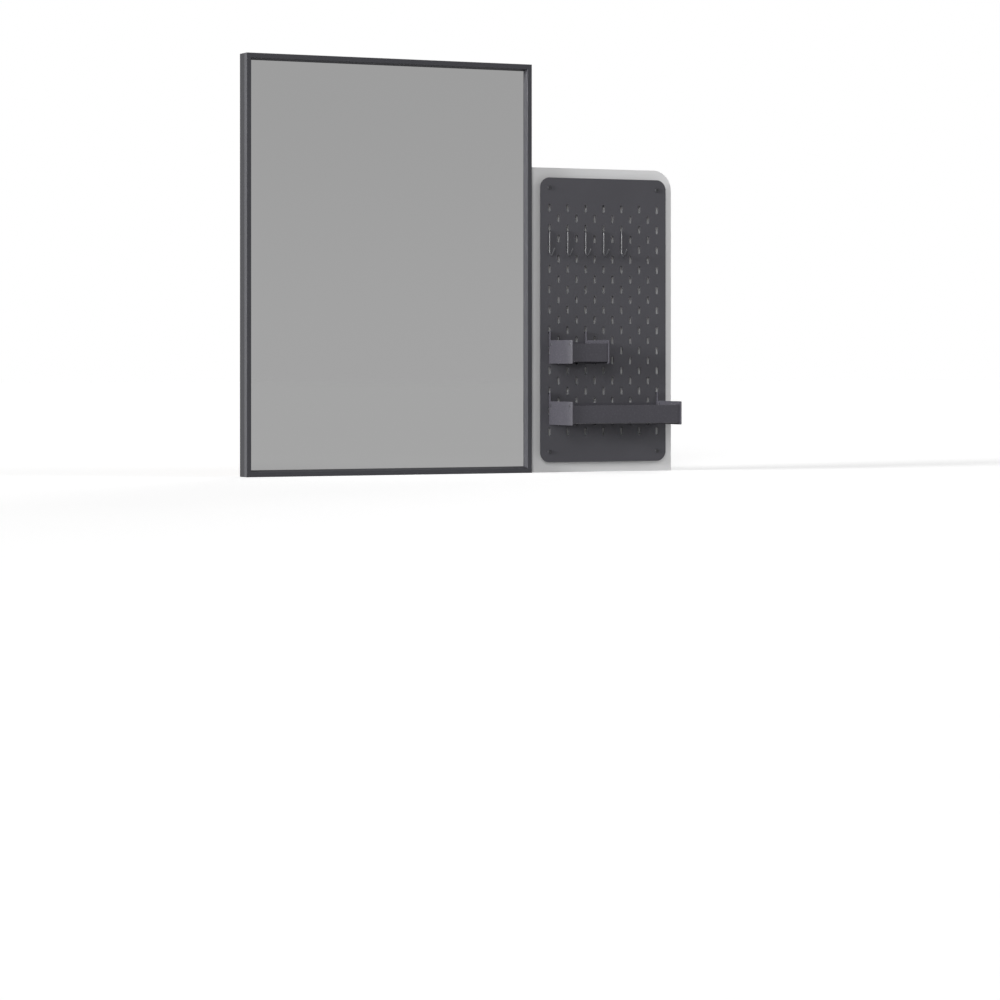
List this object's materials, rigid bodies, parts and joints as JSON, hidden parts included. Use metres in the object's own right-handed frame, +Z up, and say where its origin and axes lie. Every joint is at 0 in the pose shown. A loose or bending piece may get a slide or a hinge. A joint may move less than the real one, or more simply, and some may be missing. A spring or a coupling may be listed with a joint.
{
  "type": "dressing table mirror",
  "caption": "Tall rectangular mirror in a slim dark frame, joined to a pale side panel with a round corner that carries a dark slotted board with wire hooks and two hung trays.",
  "frame": {"origin": "middle of the unit's width, on the base plane, on the line of the base bolts, 8 mm in front of the back plane", "axes": "+X to the right seen from the front, +Y towards the back, +Z up; the mirror and the slotted board face -Y"},
  "size_m": [0.92, 0.1323, 0.8],
  "materials": {
    "frame_metal": "dark grey fine-textured powder coat",
    "rail_foil": "fibreboard wrapped in charcoal foil",
    "mirror_glass": "silvered float glass",
    "packing_felt": "grey felted fibre sheet",
    "hardboard": "brown hardboard",
    "zinc_steel": "zinc plated",
    "insert_brass": "turned brass",
    "panel_laminate": "pale melamine laminate",
    "edging_plastic": "pale edging strip",
    "beech": "fluted beech",
    "board_metal": "charcoal powder coat, satin",
    "black_plastic": "moulded black",
    "black_screw": "blackened steel",
    "hook_wire": "charcoal coated wire",
    "tray_metal": "charcoal powder coat, satin",
    "rivet_metal": "charcoal coated rivets"
  },
  "bodies": {
    "unit": {"trim_left": "frame_metal", "trim_right": "frame_metal", "trim_bottom": "frame_metal", "trim_top": "frame_metal", "rail_left": "rail_foil", "rail_right": "rail_foil", "rail_bottom": "rail_foil", "rail_top": "rail_foil", "mirror_glass": "mirror_glass", "packing_sheet": "packing_felt", "back_cover": "hardboard", "cover_screws": "zinc_steel", "corner_brackets": "zinc_steel", "bracket_screws": "zinc_steel", "base_inserts": "insert_brass", "side_panel": "panel_laminate", "panel_edging": "edging_plastic", "joining_plates": "zinc_steel", "joining_screws": "zinc_steel", "joining_dowels": "beech", "slotted_board": "board_metal", "board_spacers": "black_plastic", "board_screws": "black_screw"},
    "hook_1_body": {"hook_1": "hook_wire"},
    "hook_2_body": {"hook_2": "hook_wire"},
    "hook_3_body": {"hook_3": "hook_wire"},
    "hook_4_body": {"hook_4": "hook_wire"},
    "hook_5_body": {"hook_5": "hook_wire"},
    "short_tray": {"short_tray_trough": "tray_metal", "short_tray_end_left": "tray_metal", "short_tray_end_right": "tray_metal", "short_tray_rivets": "rivet_metal"},
    "long_tray": {"long_tray_trough": "tray_metal", "long_tray_end_left": "tray_metal", "long_tray_end_right": "tray_metal", "long_tray_rivets": "rivet_metal"}
  },
  "joints": [
    {"name": "hook_1_lift", "type": "slide", "parent": "unit", "child": "hook_1_body", "axis": [0, 0, 1], "range_m": [0, 0.0105]},
    {"name": "hook_2_lift", "type": "slide", "parent": "unit", "child": "hook_2_body", "axis": [0, 0, 1], "range_m": [0, 0.0105]},
    {"name": "hook_3_lift", "type": "slide", "parent": "unit", "child": "hook_3_body", "axis": [0, 0, 1], "range_m": [0, 0.0105]},
    {"name": "hook_4_lift", "type": "slide", "parent": "unit", "child": "hook_4_body", "axis": [0, 0, 1], "range_m": [0, 0.0105]},
    {"name": "hook_5_lift", "type": "slide", "parent": "unit", "child": "hook_5_body", "axis": [0, 0, 1], "range_m": [0, 0.0105]},
    {"name": "short_tray_lift", "type": "slide", "parent": "unit", "child": "short_tray", "axis": [0, 0, 1], "range_m": [0, 0.009]},
    {"name": "long_tray_lift", "type": "slide", "parent": "unit", "child": "long_tray", "axis": [0, 0, 1], "range_m": [0, 0.009]}
  ]
}
